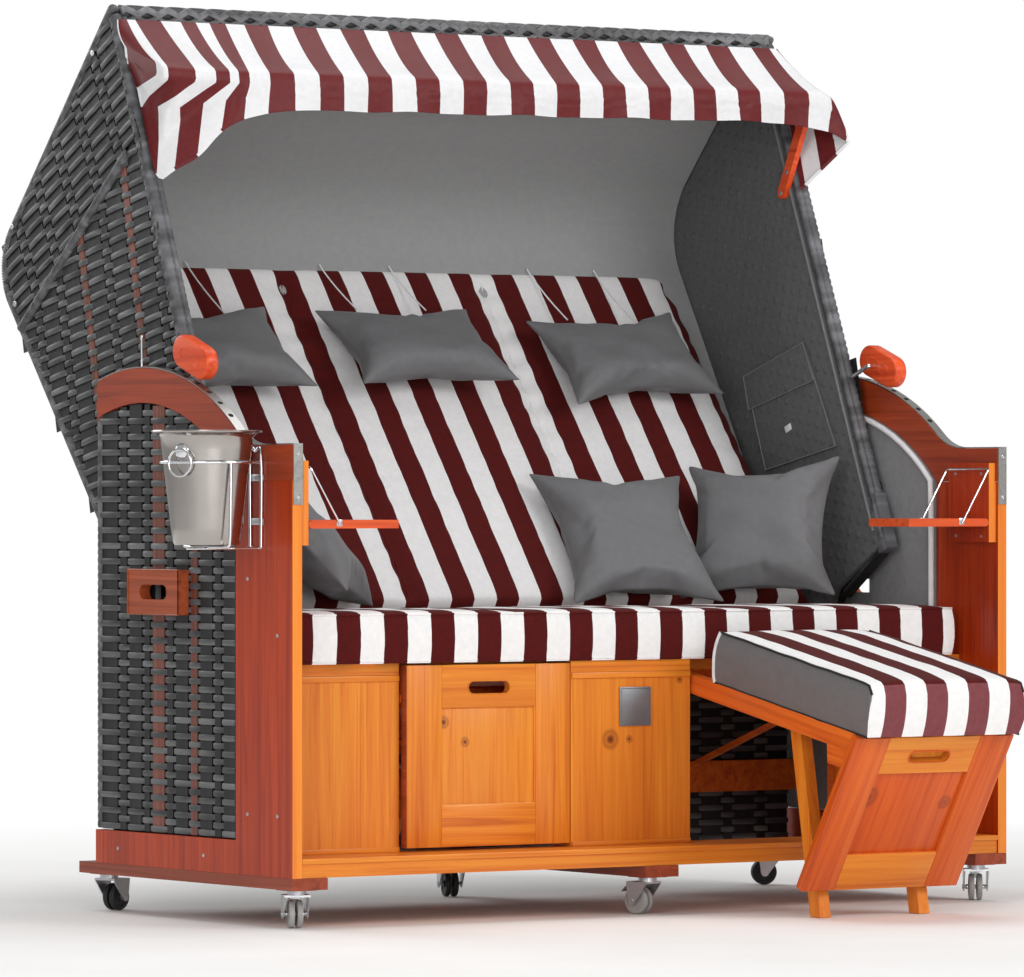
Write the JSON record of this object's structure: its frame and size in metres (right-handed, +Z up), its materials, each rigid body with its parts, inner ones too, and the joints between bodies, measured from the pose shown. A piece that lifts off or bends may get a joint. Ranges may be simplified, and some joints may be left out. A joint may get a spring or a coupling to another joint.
{
  "type": "hooded beach chair",
  "caption": "Wide hooded beach chair with a tilting wicker hood, striped cushions, folding awning, side shelves, pull-out footrests, bottle cooler and castors.",
  "frame": {"origin": "centre of the footprint, on the floor under the castors", "axes": "+X to the right as seen from the front, +Y from the front to the back, +Z up"},
  "size_m": [1.824, 1.5552, 1.6767],
  "materials": {
    "honey_pine": "satin varnished pine boards, grain upright",
    "stained_pine": "red-brown stained pine, satin",
    "light_plywood": "plain board, satin",
    "grey_wicker": "dark grey woven plastic strip over a wooden frame",
    "hood_lining": "grey wicker outside and grey cloth lining inside, over a wooden frame",
    "striped_fabric": "dark wine red and off-white stripes, matt woven cloth",
    "awning_fabric": "wine red and off-white stripes with a soft sheen",
    "grey_fabric": "plain mid grey woven cloth, matt",
    "footrest_fabric": "striped top and front, grey sides with piping",
    "steel_wire": "bright plated wire",
    "bright_steel": "bright brushed sheet steel",
    "zinc_plate": "zinc plated pressed steel",
    "awning_metal": "orange-brown painted flat arms and bar",
    "pale_wheel": "light grey moulded plastic",
    "dark_wheel": "dark rubber tread",
    "grip_wood": "rounded wooden grip, satin"
  },
  "bodies": {
    "carcass": {"runner_left": "stained_pine", "runner_middle": "stained_pine", "runner_right": "stained_pine", "side_frame_left": "stained_pine", "side_frame_right": "stained_pine", "arch_left": "stained_pine", "arch_right": "stained_pine", "side_wicker_left": "grey_wicker", "side_wicker_right": "grey_wicker", "front_sill": "honey_pine", "front_panel_left": "honey_pine", "front_panel_centre": "honey_pine", "front_panel_right": "honey_pine", "seat_box": "light_plywood", "seat_board": "light_plywood", "seat_cushion": "striped_fabric", "rear_wicker": "grey_wicker", "carry_handle_left": "honey_pine", "carry_handle_right": "honey_pine", "bucket_holder": "steel_wire", "scatter_cushion_1": "grey_fabric", "scatter_cushion_2": "grey_fabric", "scatter_cushion_3": "grey_fabric"},
    "hood": {"hood_side_left": "hood_lining", "hood_side_right": "hood_lining", "hood_shell": "hood_lining", "backrest_cushion": "striped_fabric", "neck_pillow_1": "grey_fabric", "neck_pillow_2": "grey_fabric", "neck_pillow_3": "grey_fabric", "awning_cover": "awning_fabric"},
    "awning_frame": {"awning_bow": "awning_metal"},
    "latch_left": {"latch_left": "grip_wood"},
    "latch_right": {"latch_right": "grip_wood"},
    "shelf_left": {"shelf_left": "light_plywood"},
    "shelf_stay_left": {"shelf_stay_left": "steel_wire"},
    "shelf_right": {"shelf_right": "light_plywood"},
    "shelf_stay_right": {"shelf_stay_right": "steel_wire"},
    "castor_front_left": {"castor_fork_front_left": "zinc_plate"},
    "wheels_front_left": {"castor_wheels_front_left": "pale_wheel"},
    "castor_front_middle": {"castor_fork_front_middle": "zinc_plate"},
    "wheels_front_middle": {"castor_wheels_front_middle": "pale_wheel"},
    "castor_front_right": {"castor_fork_front_right": "zinc_plate"},
    "wheels_front_right": {"castor_wheels_front_right": "pale_wheel"},
    "castor_rear_left": {"castor_fork_rear_left": "zinc_plate"},
    "wheels_rear_left": {"castor_wheels_rear_left": "dark_wheel"},
    "castor_rear_middle": {"castor_fork_rear_middle": "zinc_plate"},
    "wheels_rear_middle": {"castor_wheels_rear_middle": "dark_wheel"},
    "castor_rear_right": {"castor_fork_rear_right": "zinc_plate"},
    "wheels_rear_right": {"castor_wheels_rear_right": "dark_wheel"},
    "footrest_slide_left": {"footrest_rollers_left": "steel_wire"},
    "footrest_left": {"footrest_frame_left": "honey_pine", "footrest_panel_left": "honey_pine"},
    "footrest_legs_left": {"footrest_legs_left": "honey_pine"},
    "footrest_slide_right": {"footrest_rollers_right": "steel_wire"},
    "footrest_right": {"footrest_frame_right": "honey_pine", "footrest_panel_right": "honey_pine", "footrest_cushion": "footrest_fabric"},
    "footrest_legs_right": {"footrest_legs_right": "honey_pine"},
    "bucket": {"bucket": "bright_steel"}
  },
  "joints": [
    {"name": "hood_tilt", "type": "hinge", "parent": "carcass", "child": "hood", "pos_m": [0.092, 0.19451, 0.48], "axis": [-1, 0, 0], "range_deg": [-22, 20], "deforming": ["scatter_cushion_1", "scatter_cushion_2", "scatter_cushion_3"]},
    {"name": "awning_fold", "type": "hinge", "parent": "hood", "child": "awning_frame", "pos_m": [0.092, 0.28113, 1.36176], "axis": [-1, 0, 0], "range_deg": [0, 30], "deforming": ["awning_cover"]},
    {"name": "latch_left_lift", "type": "slide", "parent": "hood", "child": "latch_left", "axis": [0, -0.284, 0.9588], "range_m": [0, 0.015], "stiffness_N_per_m": 400, "springref_m": -0.02},
    {"name": "latch_right_lift", "type": "slide", "parent": "hood", "child": "latch_right", "axis": [0, -0.284, 0.9588], "range_m": [0, 0.015], "stiffness_N_per_m": 400, "springref_m": -0.02},
    {"name": "shelf_left_fold", "type": "hinge", "parent": "carcass", "child": "shelf_left", "pos_m": [-0.6627, -0.32549, 0.7175], "axis": [0, 1, 0], "range_deg": [0, 55]},
    {"name": "shelf_stay_left_fold", "type": "hinge", "parent": "shelf_left", "child": "shelf_stay_left", "pos_m": [-0.6055, -0.32549, 0.7175], "axis": [0, 1, 0], "range_deg": [0, 117]},
    {"name": "shelf_right_fold", "type": "hinge", "parent": "carcass", "child": "shelf_right", "pos_m": [0.8467, -0.32549, 0.7175], "axis": [0, -1, 0], "range_deg": [0, 55]},
    {"name": "shelf_stay_right_fold", "type": "hinge", "parent": "shelf_right", "child": "shelf_stay_right", "pos_m": [0.7895, -0.32549, 0.7175], "axis": [0, -1, 0], "range_deg": [0, 117]},
    {"name": "castor_front_left_swivel", "type": "hinge", "parent": "carcass", "child": "castor_front_left", "pos_m": [-0.671, -0.27949, 0.06], "axis": [0, 0, 1], "continuous": true},
    {"name": "wheels_front_left_spin", "type": "hinge", "parent": "castor_front_left", "child": "wheels_front_left", "pos_m": [-0.66287, -0.26122, 0.025], "axis": [0.9135, -0.4067, 0], "continuous": true},
    {"name": "castor_front_middle_swivel", "type": "hinge", "parent": "carcass", "child": "castor_front_middle", "pos_m": [0.092, -0.27949, 0.06], "axis": [0, 0, 1], "continuous": true},
    {"name": "wheels_front_middle_spin", "type": "hinge", "parent": "castor_front_middle", "child": "wheels_front_middle", "pos_m": [0.08582, -0.26047, 0.025], "axis": [0.9511, 0.309, 0], "continuous": true},
    {"name": "castor_front_right_swivel", "type": "hinge", "parent": "carcass", "child": "castor_front_right", "pos_m": [0.855, -0.27949, 0.06], "axis": [0, 0, 1], "continuous": true},
    {"name": "wheels_front_right_spin", "type": "hinge", "parent": "castor_front_right", "child": "wheels_front_right", "pos_m": [0.86618, -0.26291, 0.025], "axis": [0.829, -0.5592, 0], "continuous": true},
    {"name": "castor_rear_left_swivel", "type": "hinge", "parent": "carcass", "child": "castor_rear_left", "pos_m": [-0.671, 0.36851, 0.06], "axis": [0, 0, 1], "continuous": true},
    {"name": "wheels_rear_left_spin", "type": "hinge", "parent": "castor_rear_left", "child": "wheels_rear_left", "pos_m": [-0.65221, 0.37535, 0.025], "axis": [0.342, -0.9397, 0], "continuous": true},
    {"name": "castor_rear_middle_swivel", "type": "hinge", "parent": "carcass", "child": "castor_rear_middle", "pos_m": [0.092, 0.36851, 0.06], "axis": [0, 0, 1], "continuous": true},
    {"name": "wheels_rear_middle_spin", "type": "hinge", "parent": "castor_rear_middle", "child": "wheels_rear_middle", "pos_m": [0.09884, 0.3873, 0.025], "axis": [0.9397, -0.342, 0], "continuous": true},
    {"name": "castor_rear_right_swivel", "type": "hinge", "parent": "carcass", "child": "castor_rear_right", "pos_m": [0.855, 0.36851, 0.06], "axis": [0, 0, 1], "continuous": true},
    {"name": "wheels_rear_right_spin", "type": "hinge", "parent": "castor_rear_right", "child": "wheels_rear_right", "pos_m": [0.83768, 0.37851, 0.025], "axis": [0.5, 0.866, 0], "continuous": true},
    {"name": "footrest_left_pull", "type": "slide", "parent": "carcass", "child": "footrest_slide_left", "axis": [0, -0.9491, 0.3151], "range_m": [0, 0.505]},
    {"name": "footrest_left_tilt", "type": "hinge", "parent": "footrest_slide_left", "child": "footrest_left", "pos_m": [-0.2225, 0.27408, 0.25729], "axis": [1, 0, 0], "range_deg": [0, 20.5]},
    {"name": "footrest_left_legs_fold", "type": "hinge", "parent": "footrest_left", "child": "footrest_legs_left", "pos_m": [-0.2225, 0.0137, 0.34898], "axis": [-1, 0, 0], "range_deg": [0, 30]},
    {"name": "footrest_right_pull", "type": "slide", "parent": "carcass", "child": "footrest_slide_right", "axis": [0, -0.9491, 0.3151], "range_m": [-0.055, 0]},
    {"name": "footrest_right_tilt", "type": "hinge", "parent": "footrest_slide_right", "child": "footrest_right", "pos_m": [0.4065, -0.20549, 0.4165], "axis": [1, 0, 0], "range_deg": [-3.35, 0]},
    {"name": "footrest_right_legs_fold", "type": "hinge", "parent": "footrest_right", "child": "footrest_legs_right", "pos_m": [0.4065, -0.47561, 0.35958], "axis": [1, 0, 0], "range_deg": [0, 36]},
    {"name": "bucket_lift", "type": "slide", "parent": "carcass", "child": "bucket", "axis": [0, 0, 1], "range_m": [0, 0.25]}
  ],
  "couplings": [
    {"joint": "shelf_stay_left_fold", "follows": "shelf_left_fold", "ratio": 2.127},
    {"joint": "shelf_stay_right_fold", "follows": "shelf_right_fold", "ratio": 2.127},
    {"joint": "footrest_left_tilt", "follows": "footrest_left_pull", "rad_per_m": 0.7},
    {"joint": "footrest_right_tilt", "follows": "footrest_right_pull", "rad_per_m": 1.05}
  ]
}
